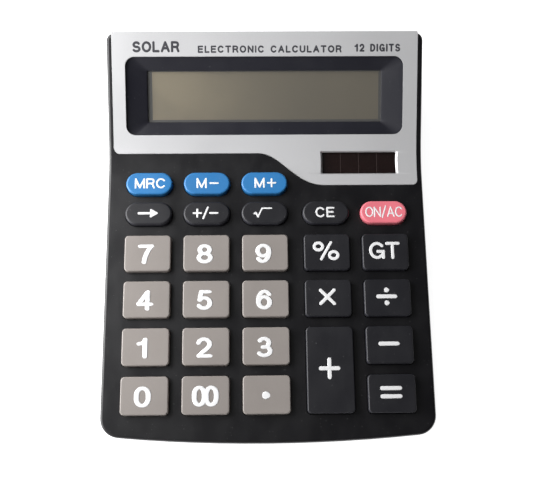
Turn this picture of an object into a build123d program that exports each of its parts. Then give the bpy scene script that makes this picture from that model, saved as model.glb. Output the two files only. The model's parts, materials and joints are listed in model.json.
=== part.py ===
from build123d import *
import os
from math import asin, cos, degrees, radians, sin, sqrt, tan

# Desk calculator, millimetres, +Z up, +Y to the rear, origin at the centre of the
# footprint on the table. Most pieces are drawn square to the keypad ("deck" frame:
# x right, y to the rear along the keypad, z out of it, zero at the middle of the bottom
# row of keys) and then tipped up by WEDGE and set down in the row frame.

# ---------------------------------------------------------------- driving dimensions
# Case
CASE_WIDTH = 150.0
FRONT_EDGE_Y = -21.1
FRONT_ARC_RADIUS = 740.0
FRONT_CORNER = 8.8
REAR_EDGE_Y = 168.05
REAR_CORNER = 3.75
EDGE_ROUND = 1.4
WALL = 2.0
WEDGE = 4.0
DECK_HEIGHT = 14.0
DECK_SETBACK = -73.5
CREASE_Y = 111.5
HEAD_ANGLE = 21.0
CREASE_RADIUS = 55.0
PART_DEPTH = 5.0
PART_GAP = 0.25
LIP_HEIGHT = 1.2
LIP_THICKNESS = 0.8
LIP_GAP = 0.1
BASE_Z = 1.5
FLOOR = 2.0
SKIRT_DEPTH = 35.0
SKIRT_INSET = 2.4
BASE_ROUND = 1.2
REACH = 400.0

# Keys
COLUMN_X = (-55.17, -27.97, -0.77, 27.97, 55.17)
ROW_Y = (0.0, 21.7, 43.4, 65.1, 84.31, 99.02)
KEY_WIDTH = 21.3
KEY_DEPTH = 16.9
KEY_CORNER = 1.8
PLUS_DEPTH = 38.5
OVAL_WIDTH = 21.8
OVAL_DEPTH = 10.8
KEY_HEIGHT = 2.9
KEY_EDGE = 0.55
OVAL_EDGE = 0.9
KEY_WALL = 1.2
KEY_GAP = 0.45
KEY_FLANGE = 0.8
KEY_FLANGE_TOP = -2.1
KEY_FOOT = -3.0
KEY_POST_RADIUS = 2.3
KEY_POST_END = -3.2
KEY_RIB = 0.8

# Rubber mat and circuit board
DOME_RADIUS = 4.2
DOME_TOP_RADIUS = 2.7
DOME_SKIN = 0.6
PILL_RADIUS = 1.8
PILL_GAP = 1.6
MAT_THICKNESS = 0.7
MAT_HALF_WIDTH = 64.5
MAT_FRONT = -12.0
MAT_REAR = 105.3
BOARD_TOP = -6.6
BOARD_THICKNESS = 1.2
BOARD_HALF_WIDTH = 66.0
BOARD_FRONT = -15.0
BOARD_REAR = 109.0
BOARD_SCREWS = (
    (-41.57, 10.85), (-14.37, 10.85), (13.6, 10.85), (41.57, 10.85),
    (-41.57, 54.25), (-14.37, 54.25), (13.6, 54.25), (41.57, 54.25),
    (-41.57, 91.66), (41.57, 91.66),
)
SMALL_BOSS_RADIUS = 1.7
SMALL_SCREW_RADIUS = 0.8
SMALL_HEAD_RADIUS = 1.7
SMALL_HEAD_HEIGHT = 1.0
SMALL_SCREW_LENGTH = 4.5
SMALL_SCREW_SPARE = 0.3
CHIP_PLACE = (10.0, 74.0)
CHIP_HEIGHT = 1.6
CHIP_RADII = (4.0, 6.5)
CAPACITOR_X = (-22.0, -14.0)
CAPACITOR_Y = 96.0
CAPACITOR_RADIUS = 2.5
CAPACITOR_HEIGHT = 5.5

# Silver fascia
PLATE_LEFT = -72.5
PLATE_RIGHT = 72.4
PLATE_SINK = 0.7
PLATE_PROUD = 0.3
PLATE_GAP = 0.35
PLATE_REAR_Y = 167.85
PLATE_LEFT_FRONT_Y = 114.3
PLATE_RIGHT_FRONT_Y = 98.6
PLATE_STEP_START_X = -3.7
PLATE_STEP_END_X = 28.5
PLATE_STEP_TENSION = (1.0, 1.25)
PLATE_REAR_CORNER = 0.5
PLATE_LEFT_CORNER = 3.0
PLATE_RIGHT_CORNER = 2.2

# Display, measured along the head from the crease
OPENING_CENTRE = (-0.3, 30.4)
OPENING_SIZE = (132.2, 36.9)
OPENING_CORNER = 4.5
WINDOW_CENTRE = (-0.3, 30.3)
WINDOW_SIZE = (112.0, 24.4)
WINDOW_CORNER = 0.8
FUNNEL_DEPTH = 3.2
WINDOW_LIP = 0.4
BEZEL_BODY_SIZE = (133.6, 39.0)
BEZEL_FLANGE_SIZE = (134.0, 42.5)
BEZEL_CLEARANCE = 0.2
LENS_THICKNESS = 1.0
LENS_MARGIN = 2.2
LCD_WIDTH = 118.0
LCD_FRONT_S = 17.5
LCD_LEDGE_S = 15.0
LCD_REAR_S = 46.0
LCD_GLASS = 1.05
REFLECTOR = 0.25
HOLDER_THICKNESS = 1.6
HOLDER_SIZE = (128.0, 36.0)
HOLDER_EAR_X = 70.8
HOLDER_EAR_ROOT_X = 60.2
HOLDER_EAR_S = (18.0, 43.0)
STACK_GAP = 0.05

# Solar panel
SOLAR_X = 44.8
SOLAR_Y = 109.6
SOLAR_OPENING = (38.2, 11.7)
SOLAR_SIGHT = (35.0, 10.0)
SOLAR_WINDOW = (36.0, 11.0)
SOLAR_WINDOW_THICKNESS = 1.2
SOLAR_PANEL = (38.0, 12.5)
SOLAR_PANEL_THICKNESS = 1.1
SOLAR_BEVEL_TOP = 1.0
SOLAR_OPENING_CORNER = 0.8
SOLAR_SIGHT_CORNER = 0.6

# Ribbon and leads
RIBBON_LEFT = -46.0
RIBBON_RIGHT = 24.0
RIBBON_THICKNESS = 0.2
RIBBON_BEND = 8.0
RIBBON_END_Y = 106.0
LEAD_RADIUS = 0.6
SOLAR_LEAD_X = (34.0, 56.0)
SOLAR_LEAD_Y = 111.5
SOLAR_LEAD_SPAN = 12.0
SOLAR_LEAD_DROP = 3.2
SOLAR_LEAD_BEND = 2.0
BATTERY_LEAD_RISE = 5.0
BATTERY_LEAD_FOOT = 14.0
BATTERY_LEAD_BEND = 3.0
BATTERY_PAD_Y = 103.0

# Battery bay, in the row frame
BAY_HALF_LENGTH = 28.0
BAY_FRONT_Y = 69.6
BAY_REAR_Y = 86.0
BAY_TOP_Z = 19.2
BAY_WALL = 1.5
BAY_SHOULDER = 5.0
CELL_RADIUS = 7.2
CELL_LENGTH = 49.5
CELL_NUB_RADIUS = 2.7
CELL_NUB = 1.0
CELL_CLEARANCE = 0.35
CELL_EDGE = 0.5
CONTACT_THICKNESS = 0.4
CONTACT_WIDTH = 9.0
TAB_WIDTH = 4.0
TAB_TOP_Z = 23.5
SPRING_WIRE_RADIUS = 0.35
SPRING_RADIUS = 3.4
SPRING_TURNS = 3
DOOR_HALF_WIDTH = 30.0
DOOR_FRONT_Y = 67.2
DOOR_THICKNESS = 1.8
DOOR_LIP_TOP_Z = 9.0
DOOR_GAP = 0.3
TONGUE = 1.3
TONGUE_HEIGHT = 0.8
TONGUE_GAP = 0.12
GRIP_START = 6.0
GRIP_COUNT = 5
GRIP_PITCH = 2.4
GRIP_WIDTH = 1.1
GRIP_DEPTH = 0.5
GRIP_LENGTH = 18.0

# Case screws and feet, in the row frame
CASE_SCREWS_DECK = ((69.6, -7.0), (69.6, 54.25), (69.6, 142.0))
BOSS_RADIUS = 2.0
BOSS_END = -8.0
POST_RADIUS = 3.4
POST_WEB = 2.2
POST_GAP = 0.1
SCREW_RADIUS = 1.0
SCREW_LENGTH = 8.0
SCREW_HEAD_RADIUS = 2.0
SCREW_HEAD_HEIGHT = 1.4
SCREW_CLEARANCE = 0.2
DRIVE_REACH = 1.1
DRIVE_WIDTH = 0.6
DRIVE_DEPTH = 0.7
FOOT_RADIUS = 5.0
FOOT_RECESS = 0.7
FOOT_EDGE = 0.5
FOOT_X = 58.0
FOOT_FRONT_Y = -78.0
FOOT_REAR_Y = 78.0

# ---------------------------------------------------------------- frames
DECK = Location((0, DECK_SETBACK, DECK_HEIGHT), (WEDGE, 0, 0))
HEAD = Location((0, CREASE_Y, 0), (HEAD_ANGLE, 0, 0))
CREASE_START = CREASE_Y - CREASE_RADIUS * tan(radians(HEAD_ANGLE / 2))
SOLAR_ANGLE = degrees(asin((SOLAR_Y - CREASE_START) / CREASE_RADIUS))
SOLAR_HEIGHT = CREASE_RADIUS * (1 - cos(radians(SOLAR_ANGLE)))
SOLAR = Location((SOLAR_X, SOLAR_Y, SOLAR_HEIGHT), (SOLAR_ANGLE, 0, 0))
BOARD_BOTTOM = BOARD_TOP - BOARD_THICKNESS
MAT_TOP = BOARD_TOP + MAT_THICKNESS
LENS_TOP = -FUNNEL_DEPTH - WINDOW_LIP
LCD_TOP = LENS_TOP - LENS_THICKNESS - STACK_GAP
LCD_BOTTOM = LCD_TOP - 2 * LCD_GLASS
HOLDER_TOP = LCD_BOTTOM - REFLECTOR - 2 * STACK_GAP

# Each key: node, column, row, kind.
KEYS = (
    ("key_0", 0, 0, "square"), ("key_00", 1, 0, "square"), ("key_point", 2, 0, "square"),
    ("key_1", 0, 1, "square"), ("key_2", 1, 1, "square"), ("key_3", 2, 1, "square"),
    ("key_4", 0, 2, "square"), ("key_5", 1, 2, "square"), ("key_6", 2, 2, "square"),
    ("key_7", 0, 3, "square"), ("key_8", 1, 3, "square"), ("key_9", 2, 3, "square"),
    ("key_plus", 3, 0.5, "tall"), ("key_equals", 4, 0, "square"), ("key_minus", 4, 1, "square"),
    ("key_multiply", 3, 2, "square"), ("key_divide", 4, 2, "square"),
    ("key_percent", 3, 3, "square"), ("key_grand_total", 4, 3, "square"),
    ("key_backspace", 0, 4, "oval"), ("key_sign", 1, 4, "oval"), ("key_root", 2, 4, "oval"),
    ("key_clear_entry", 3, 4, "oval"), ("key_on_clear", 4, 4, "oval"),
    ("key_memory_recall", 0, 5, "oval"), ("key_memory_minus", 1, 5, "oval"),
    ("key_memory_plus", 2, 5, "oval"),
)


# ---------------------------------------------------------------- helpers
def row_z(y, z):
    """Height above the table of a deck-frame point."""
    return DECK_HEIGHT + y * sin(radians(WEDGE)) + z * cos(radians(WEDGE))


def row_y(y, z):
    """Row-frame y of a deck-frame point."""
    return DECK_SETBACK + y * cos(radians(WEDGE)) - z * sin(radians(WEDGE))


def block(low, high):
    """A box between two corners."""
    size = [h - l for l, h in zip(low, high)]
    centre = [(h + l) / 2 for l, h in zip(low, high)]
    return Pos(*centre) * Box(*size)


def upright(x, y, low, high, radius):
    """A cylinder along +Z between two heights."""
    return Pos(x, y, (low + high) / 2) * Cylinder(radius, high - low)


def prism(face, low, high):
    """A flat face on the XY plane, extruded between two heights."""
    return Pos(0, 0, low) * extrude(face, amount=high - low)


def case_outline(inset, front_corner, rear_corner):
    """The case seen square to the keypad, pulled in by an inset."""
    half = CASE_WIDTH / 2 - inset
    arc_radius = FRONT_ARC_RADIUS - inset
    arc_centre = FRONT_EDGE_Y + FRONT_ARC_RADIUS
    corner_y = arc_centre - sqrt(arc_radius**2 - half**2)
    rear_y = REAR_EDGE_Y - inset
    front = ThreePointArc((-half, corner_y), (0, arc_centre - arc_radius), (half, corner_y))
    sides = Polyline((half, corner_y), (half, rear_y), (-half, rear_y), (-half, corner_y))
    face = make_face(front + sides)
    face = fillet(face.vertices().sort_by(Axis.Y)[:2], front_corner)
    return fillet(face.vertices().sort_by(Axis.Y)[-2:], rear_corner)


def under_surface(offset):
    """Everything under the keypad, crease and head surface, moved outwards by an offset."""
    angle = radians(HEAD_ANGLE)
    radius = CREASE_RADIUS - offset
    blend_end = (CREASE_START + radius * sin(angle), CREASE_RADIUS - radius * cos(angle))
    head_end = (blend_end[0] + REACH * cos(angle), blend_end[1] + REACH * sin(angle))
    deck = Line((-REACH, offset), (CREASE_START, offset))
    blend = CenterArc((CREASE_START, CREASE_RADIUS), radius, -90, HEAD_ANGLE)
    rest = Polyline(blend_end, head_end, (head_end[0], -REACH), (-REACH, -REACH), (-REACH, offset))
    face = make_face(Plane.YZ * (deck + blend + rest))
    return extrude(face, amount=CASE_WIDTH, both=True)


def rounded_rectangle(centre, size, corner):
    return Pos(*centre) * RectangleRounded(size[0], size[1], corner)


def head_box(centre, size, low, high):
    """A plain block square to the display head."""
    x, y = centre
    half_x, half_y = size[0] / 2, size[1] / 2
    return block((x - half_x, y - half_y, low), (x + half_x, y + half_y, high))


def key_face(kind, grow):
    """The outline of one keycap, grown on all sides."""
    if kind == "oval":
        return SlotOverall(OVAL_WIDTH + 2 * grow, OVAL_DEPTH + 2 * grow)
    depth = PLUS_DEPTH if kind == "tall" else KEY_DEPTH
    return RectangleRounded(KEY_WIDTH + 2 * grow, depth + 2 * grow, KEY_CORNER + grow)


def key_position(column, row):
    """Where a key stands on the deck; a half row is midway between two rows."""
    low = ROW_Y[int(row)]
    high = ROW_Y[int(row + 0.5)]
    return Pos(COLUMN_X[column], (low + high) / 2, 0)


def lead(points, bend):
    """A round insulated wire along straight runs joined by arcs."""
    path = FilletPolyline(*points, radius=bend)
    section = (path ^ 0) * Circle(LEAD_RADIUS)
    return sweep(section, path=path)


def on_deck(shape):
    return DECK * shape


def on_head(shape):
    return DECK * HEAD * shape


def on_solar(shape):
    return DECK * SOLAR * shape


def both_sides(points):
    return [(side * x, y) for x, y in points for side in (-1, 1)]


# ---------------------------------------------------------------- case
def solar_opening(top):
    """The bevelled cut that frames the solar cells, from the surface to the case wall."""
    wide = Pos(0, 0, top) * RectangleRounded(*SOLAR_OPENING, SOLAR_OPENING_CORNER)
    narrow = Pos(0, 0, -PLATE_SINK - STACK_GAP) * RectangleRounded(*SOLAR_SIGHT, SOLAR_SIGHT_CORNER)
    return SOLAR * loft([narrow, wide])


def plate_outline(grow):
    """The fascia seen square to the keypad, with its stepped front edge."""
    left = PLATE_LEFT - grow
    right = PLATE_RIGHT + grow
    rear = PLATE_REAR_Y + grow
    left_front = PLATE_LEFT_FRONT_Y - grow
    right_front = PLATE_RIGHT_FRONT_Y - grow
    step_start = (PLATE_STEP_START_X - grow, left_front)
    step_end = (PLATE_STEP_END_X - grow, right_front)
    tension = list(PLATE_STEP_TENSION)
    step = Spline(step_start, step_end, tangents=[(1, 0), (1, 0)], tangent_scalars=tension)
    rear_side = ((right, right_front), (right, rear), (left, rear), (left, left_front))
    face = make_face(step + Polyline(step_end, *rear_side, step_start))
    corners = (
        ((left, rear), PLATE_REAR_CORNER), ((right, rear), PLATE_REAR_CORNER),
        ((left, left_front), PLATE_LEFT_CORNER), ((right, right_front), PLATE_RIGHT_CORNER),
    )
    for place, radius in corners:
        corner = face.vertices().sort_by_distance((*place, 0))[0]
        face = fillet(corner, radius + grow)
    return face


def case_bosses():
    """Round bosses for the six case screws, square to the table."""
    bosses = []
    for x, y in both_sides(CASE_SCREWS_DECK):
        boss = upright(x, row_y(y, 0), row_z(y, BOSS_END), row_z(y, BOSS_END) + REACH / 4, BOSS_RADIUS)
        bosses.append(DECK.inverse() * boss)
    return bosses


def case_boss_holes():
    """Blind holes for the case screws."""
    holes = []
    for x, y in both_sides(CASE_SCREWS_DECK):
        end = row_z(y, BOSS_END)
        depth = SCREW_LENGTH - POST_WEB - POST_GAP + SCREW_CLEARANCE
        holes.append(DECK.inverse() * upright(x, row_y(y, 0), end - 1, end + depth, SCREW_RADIUS))
    return holes


def upper_case():
    outline = case_outline(0, FRONT_CORNER, REAR_CORNER)
    shell = under_surface(0) & prism(outline, -PART_DEPTH, REACH / 4)
    top_edges = [e for e in shell.edges() if e.center().Z > -PART_DEPTH / 2]
    rim = [e for e in top_edges if not is_upright(e) and on_rim(e)]
    shell = fillet(rim, EDGE_ROUND)
    cavity_outline = case_outline(WALL, FRONT_CORNER - WALL, REAR_CORNER - WALL)
    cavity = under_surface(-WALL) & prism(cavity_outline, -REACH / 4, REACH / 4)
    shell -= cavity
    shell -= prism(case_outline(WALL - LIP_THICKNESS - LIP_GAP, FRONT_CORNER - 1, REAR_CORNER - 1),
                   -PART_DEPTH - 1, -PART_DEPTH + LIP_HEIGHT + LIP_GAP)

    inner = under_surface(-WALL / 2)
    for boss in case_bosses():
        shell += boss & inner
    for x, y in BOARD_SCREWS:
        shell += upright(x, y, BOARD_TOP, -WALL / 2, SMALL_BOSS_RADIUS)
    for x, y in both_sides([(HOLDER_EAR_X, s) for s in HOLDER_EAR_S]):
        shell += HEAD * upright(x, y, HOLDER_TOP, -WALL / 2, SMALL_BOSS_RADIUS)

    shell -= prism(plate_outline(PLATE_GAP), -REACH / 4, REACH / 4) - under_surface(-PLATE_SINK)
    shell -= HEAD * head_box(OPENING_CENTRE, [v + 2 * BEZEL_CLEARANCE for v in BEZEL_BODY_SIZE], -WALL - 1, 1)
    shell -= SOLAR * head_box((0, 0), [v + 2 * BEZEL_CLEARANCE for v in SOLAR_WINDOW], -WALL - 1, 1)
    for name, column, row, kind in KEYS:
        shell -= key_position(column, row) * prism(key_face(kind, KEY_GAP), -WALL - 1, 1)

    for hole in case_boss_holes():
        shell -= hole
    for x, y in BOARD_SCREWS:
        hole_top = BOARD_TOP + SMALL_SCREW_LENGTH - BOARD_THICKNESS
        shell -= upright(x, y, BOARD_TOP - 1, hole_top, SMALL_SCREW_RADIUS)
    for x, y in both_sides([(HOLDER_EAR_X, s) for s in HOLDER_EAR_S]):
        hole_top = HOLDER_TOP + SMALL_SCREW_LENGTH - HOLDER_THICKNESS
        shell -= HEAD * upright(x, y, HOLDER_TOP - 1, hole_top, SMALL_SCREW_RADIUS)
    return on_deck(shell)


def is_upright(edge):
    """Whether an edge runs along the deck's normal."""
    return abs((edge % 0.5).Z) > 0.99


def on_rim(edge):
    """Whether an edge lies on the outside of the case's plan outline."""
    middle = edge @ 0.5
    near_side = abs(middle.X) > CASE_WIDTH / 2 - FRONT_CORNER
    near_end = middle.Y > REAR_EDGE_Y - REAR_CORNER or middle.Y < FRONT_EDGE_Y + FRONT_CORNER
    return near_side or near_end


def tray(inset, front_corner, rear_corner, top):
    """The lower half's drafted solid, from the parting line downwards, in the row frame."""
    upper = Pos(0, 0, top) * case_outline(inset, front_corner, rear_corner)
    lower = Pos(0, 0, -SKIRT_DEPTH) * case_outline(inset + SKIRT_INSET, front_corner, rear_corner)
    return on_deck(loft([lower, upper], ruled=True))


def above(z):
    return block((-REACH, -REACH, z), (REACH, REACH, REACH))


def tray_shell():
    """The lower half's plain shell, before the door is cut from it."""
    top = -PART_DEPTH - PART_GAP
    outer = tray(0, FRONT_CORNER, REAR_CORNER, top) & above(BASE_Z)
    outer = fillet(outer.edges().group_by(Axis.Z)[0], BASE_ROUND)
    inner = tray(WALL, FRONT_CORNER - WALL, REAR_CORNER - WALL, top + 1) & above(BASE_Z + FLOOR)
    return outer - inner


def door_region(grow):
    """The part of the tray that the battery door takes up."""
    return block((-DOOR_HALF_WIDTH - grow, DOOR_FRONT_Y - grow, -REACH),
                 (DOOR_HALF_WIDTH + grow, REACH, DOOR_LIP_TOP_Z + grow))


def door_tongues(grow, rear):
    """The two rails along the door's sides, or the grooves that they slide in, back to a rear end."""
    middle = BASE_Z + DOOR_THICKNESS / 2
    rails = []
    for side in (-1, 1):
        inner, outer = sorted((side * (DOOR_HALF_WIDTH - 1), side * (DOOR_HALF_WIDTH + TONGUE + grow)))
        rails.append(block((inner, DOOR_FRONT_Y - grow, middle - TONGUE_HEIGHT / 2 - grow),
                           (outer, rear, middle + TONGUE_HEIGHT / 2 + grow)))
    return rails


def lower_case():
    shell = tray_shell()
    lip_outer = prism(case_outline(WALL - LIP_THICKNESS, FRONT_CORNER - 1, REAR_CORNER - 1),
                      -PART_DEPTH - 1.5, -PART_DEPTH + LIP_HEIGHT)
    lip_inner = prism(case_outline(WALL, FRONT_CORNER - WALL, REAR_CORNER - WALL), -REACH / 4, REACH / 4)
    shell += on_deck(lip_outer - lip_inner)

    bay_low = (-BAY_HALF_LENGTH - BAY_WALL, BAY_FRONT_Y - BAY_WALL, BASE_Z + FLOOR)
    bay_high = (BAY_HALF_LENGTH + BAY_WALL, BAY_REAR_Y + BAY_WALL, BAY_TOP_Z + BAY_WALL)
    shoulder_low = (-BAY_HALF_LENGTH - BAY_SHOULDER, BAY_FRONT_Y - BAY_SHOULDER, BASE_Z + FLOOR / 2)
    shoulder_high = (BAY_HALF_LENGTH + BAY_SHOULDER, BAY_REAR_Y + BAY_WALL, BASE_Z + 2 * FLOOR)
    shell += block(bay_low, bay_high) + block(shoulder_low, shoulder_high)
    shell -= block((-BAY_HALF_LENGTH, BAY_FRONT_Y, 0), (BAY_HALF_LENGTH, BAY_REAR_Y, BAY_TOP_Z))
    shell -= door_region(DOOR_GAP) & block((-REACH, -REACH, 0), (REACH, REACH, BASE_Z + FLOOR))
    behind_bay = BAY_REAR_Y + BAY_WALL + DOOR_GAP
    shell -= door_region(DOOR_GAP) & block((-REACH, behind_bay, 0), (REACH, REACH, REACH))
    for groove in door_tongues(TONGUE_GAP, REACH):
        shell -= groove
    for side in (-1, 1):
        x = side * (BAY_HALF_LENGTH - CONTACT_THICKNESS)
        shell -= block((x - CONTACT_THICKNESS * 2, cell_y() - TAB_WIDTH / 2 - DOOR_GAP, BAY_TOP_Z - 1),
                       (x + CONTACT_THICKNESS * 2, cell_y() + TAB_WIDTH / 2 + DOOR_GAP, TAB_TOP_Z))

    inner_outline = case_outline(WALL + POST_GAP, FRONT_CORNER - WALL, REAR_CORNER - WALL)
    ceiling = on_deck(prism(inner_outline, -REACH / 4, REACH / 4))
    for x, y in both_sides(CASE_SCREWS_DECK):
        top = row_z(y, BOSS_END) - POST_GAP
        shell += upright(x, row_y(y, 0), BASE_Z + FLOOR / 2, top, POST_RADIUS) & ceiling
    for x, y in both_sides(CASE_SCREWS_DECK):
        seat = row_z(y, BOSS_END) - POST_GAP - POST_WEB
        shell -= upright(x, row_y(y, 0), 0, seat, SCREW_HEAD_RADIUS + SCREW_CLEARANCE)
        shell -= upright(x, row_y(y, 0), 0, REACH / 4, SCREW_RADIUS + SCREW_CLEARANCE)
    for x, y in foot_places():
        shell -= upright(x, y, 0, BASE_Z + FOOT_RECESS, FOOT_RADIUS + POST_GAP)
    return shell


def battery_door():
    shell = tray_shell() & door_region(0)
    shell &= block((-REACH, -REACH, -1), (REACH, REACH, BASE_Z + DOOR_THICKNESS)) + block(
        (-REACH, BAY_REAR_Y + BAY_WALL + 2 * DOOR_GAP, -1), (REACH, REACH, REACH))
    for rail in door_tongues(0, BAY_REAR_Y):
        shell += rail
    for index in range(GRIP_COUNT):
        y = DOOR_FRONT_Y + GRIP_START + index * GRIP_PITCH
        shell -= block((-GRIP_LENGTH / 2, y, 0), (GRIP_LENGTH / 2, y + GRIP_WIDTH, BASE_Z + GRIP_DEPTH))
    return shell


# ---------------------------------------------------------------- fascia and display
def fascia_plate():
    band = under_surface(PLATE_PROUD) - under_surface(-PLATE_SINK)
    plate = band & prism(plate_outline(0), -REACH / 4, REACH / 4)
    opening = rounded_rectangle(OPENING_CENTRE, OPENING_SIZE, OPENING_CORNER)
    plate -= HEAD * prism(opening, -REACH / 20, REACH / 20)
    plate -= solar_opening(SOLAR_BEVEL_TOP)
    return on_deck(plate)


def display_bezel():
    body = head_box(OPENING_CENTRE, BEZEL_BODY_SIZE, LENS_TOP, -PLATE_SINK - STACK_GAP)
    flange = head_box(OPENING_CENTRE, BEZEL_FLANGE_SIZE, LENS_TOP - LENS_THICKNESS, -WALL - STACK_GAP)
    mouth = Pos(0, 0, -PLATE_SINK) * rounded_rectangle(OPENING_CENTRE, OPENING_SIZE, OPENING_CORNER)
    throat = Pos(0, 0, -FUNNEL_DEPTH) * rounded_rectangle(WINDOW_CENTRE, WINDOW_SIZE, WINDOW_CORNER)
    bezel = body + flange
    bezel -= loft([throat, mouth])
    bezel -= prism(rounded_rectangle(WINDOW_CENTRE, WINDOW_SIZE, WINDOW_CORNER), -REACH / 20, -FUNNEL_DEPTH)
    lens_pocket = [v + 2 * LENS_MARGIN + 2 * STACK_GAP for v in WINDOW_SIZE]
    bezel -= head_box(WINDOW_CENTRE, lens_pocket, -REACH / 20, LENS_TOP)
    return on_head(bezel)


def display_lens():
    size = [v + 2 * LENS_MARGIN for v in WINDOW_SIZE]
    return on_head(head_box(WINDOW_CENTRE, size, LENS_TOP - LENS_THICKNESS, LENS_TOP))


def lcd_cell():
    half = LCD_WIDTH / 2
    front = block((-half, LCD_FRONT_S, LCD_TOP - LCD_GLASS), (half, LCD_REAR_S, LCD_TOP))
    rear = block((-half, LCD_LEDGE_S, LCD_BOTTOM), (half, LCD_REAR_S, LCD_TOP - LCD_GLASS))
    return on_head(front + rear)


def lcd_reflector():
    half = LCD_WIDTH / 2 - 1
    top = LCD_BOTTOM - STACK_GAP
    return on_head(block((-half, LCD_FRONT_S, top - REFLECTOR), (half, LCD_REAR_S, top)))


def lcd_holder():
    plate = head_box(OPENING_CENTRE, HOLDER_SIZE, HOLDER_TOP - HOLDER_THICKNESS, HOLDER_TOP)
    low = HOLDER_TOP - HOLDER_THICKNESS
    for x, s in both_sides([(HOLDER_EAR_X, s) for s in HOLDER_EAR_S]):
        inner, outer = sorted((HOLDER_EAR_ROOT_X * x / HOLDER_EAR_X, x))
        ear = block((inner, s - SMALL_BOSS_RADIUS, low), (outer, s + SMALL_BOSS_RADIUS, HOLDER_TOP))
        plate += ear + upright(x, s, low, HOLDER_TOP, SMALL_BOSS_RADIUS)
        plate -= upright(x, s, low - 1, HOLDER_TOP + 1, SMALL_SCREW_RADIUS + STACK_GAP)
    return on_head(plate)


def lcd_ribbon():
    """The printed film that joins the display's ledge to the circuit board."""
    angle = radians(HEAD_ANGLE)
    ledge = LCD_TOP - LCD_GLASS + STACK_GAP
    start_s = LCD_FRONT_S - STACK_GAP * 4
    start = (CREASE_Y + start_s * cos(angle) - ledge * sin(angle), start_s * sin(angle) + ledge * cos(angle))
    level = BOARD_TOP + STACK_GAP
    knee = (start[0] - (start[1] - level) / tan(angle), level)
    under = FilletPolyline(start, knee, (RIBBON_END_Y, level), radius=RIBBON_BEND)
    rise = (-sin(angle) * RIBBON_THICKNESS, cos(angle) * RIBBON_THICKNESS)
    top_start = (start[0] + rise[0], start[1] + rise[1])
    top_level = level + RIBBON_THICKNESS
    top_knee = (top_start[0] - (top_start[1] - top_level) / tan(angle), top_level)
    top_bend = RIBBON_BEND - RIBBON_THICKNESS
    over = FilletPolyline(top_start, top_knee, (RIBBON_END_Y, top_level), radius=top_bend)
    ends = Line(start, top_start) + Line((RIBBON_END_Y, level), (RIBBON_END_Y, top_level))
    face = make_face(Plane.YZ * (under + over + ends))
    film = extrude(face, amount=RIBBON_RIGHT - RIBBON_LEFT, dir=(1, 0, 0))
    return on_deck(Pos(RIBBON_LEFT, 0, 0) * film)


def solar_window():
    low = -PLATE_SINK - STACK_GAP - SOLAR_WINDOW_THICKNESS
    return on_solar(head_box((0, 0), SOLAR_WINDOW, low, -PLATE_SINK - STACK_GAP))


def solar_panel():
    top = -WALL - STACK_GAP
    return on_solar(head_box((0, 0), SOLAR_PANEL, top - SOLAR_PANEL_THICKNESS, top))


def solar_leads():
    """The panel's two wires, over the board's rear edge and up to its underside."""
    panel_back = -WALL - STACK_GAP - SOLAR_PANEL_THICKNESS
    y = SOLAR_LEAD_Y
    z = SOLAR_HEIGHT + (y - SOLAR_Y) * tan(radians(SOLAR_ANGLE)) + panel_back / cos(radians(SOLAR_ANGLE))
    low = BOARD_BOTTOM - SOLAR_LEAD_DROP
    end = y - SOLAR_LEAD_SPAN
    leads = []
    for x in SOLAR_LEAD_X:
        points = ((x, y, z - 3 * STACK_GAP), (x, y, low), (x, end, low), (x, end, BOARD_BOTTOM - STACK_GAP))
        leads.append(on_deck(lead(points, SOLAR_LEAD_BEND)))
    return Compound(children=leads)


# ---------------------------------------------------------------- keys and board
def keycap(kind):
    """A hollow keycap with a captive flange, a middle post and two ribs."""
    cap = prism(key_face(kind, 0), KEY_FOOT, KEY_HEIGHT)
    top = cap.edges().group_by(Axis.Z)[-1]
    cap = fillet(top, OVAL_EDGE if kind == "oval" else KEY_EDGE)
    cap += prism(key_face(kind, KEY_FLANGE), KEY_FOOT, KEY_FLANGE_TOP)
    ceiling = KEY_HEIGHT - KEY_WALL
    hollow = prism(key_face(kind, -KEY_WALL), KEY_FOOT, ceiling)
    ribs = block((-KEY_WIDTH, -KEY_RIB / 2, KEY_FLANGE_TOP), (KEY_WIDTH, KEY_RIB / 2, ceiling))
    ribs += block((-KEY_RIB / 2, -PLUS_DEPTH, KEY_FLANGE_TOP), (KEY_RIB / 2, PLUS_DEPTH, ceiling))
    cap -= hollow - ribs
    return cap + upright(0, 0, KEY_POST_END, ceiling, KEY_POST_RADIUS)


def key_mat():
    """One moulded rubber sheet with a hollow dome and a carbon pill under each key."""
    mat = block((-MAT_HALF_WIDTH, MAT_FRONT, BOARD_TOP), (MAT_HALF_WIDTH, MAT_REAR, MAT_TOP))
    dome_height = KEY_POST_END - MAT_TOP
    dome = Pos(0, 0, MAT_TOP + dome_height / 2) * Cone(DOME_RADIUS, DOME_TOP_RADIUS, dome_height)
    hollow_height = dome_height + MAT_THICKNESS - 2 * DOME_SKIN
    hollow = Pos(0, 0, BOARD_TOP + hollow_height / 2) * Cone(
        DOME_RADIUS - DOME_SKIN, DOME_TOP_RADIUS - DOME_SKIN / 2, hollow_height)
    pill = upright(0, 0, BOARD_TOP + PILL_GAP, KEY_POST_END - DOME_SKIN, PILL_RADIUS)
    for name, column, row, kind in KEYS:
        mat += key_position(column, row) * dome
        mat -= key_position(column, row) * (hollow - pill)
    for x, y in BOARD_SCREWS:
        mat -= upright(x, y, BOARD_TOP - 1, MAT_TOP + 1, SMALL_BOSS_RADIUS + SCREW_CLEARANCE)
    return on_deck(mat)


def keypad_board():
    board = block((-BOARD_HALF_WIDTH, BOARD_FRONT, BOARD_BOTTOM), (BOARD_HALF_WIDTH, BOARD_REAR, BOARD_TOP))
    for x, y in BOARD_SCREWS:
        board -= upright(x, y, BOARD_BOTTOM - 1, BOARD_TOP + 1, SMALL_SCREW_RADIUS + STACK_GAP)
    return on_deck(board)


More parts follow.
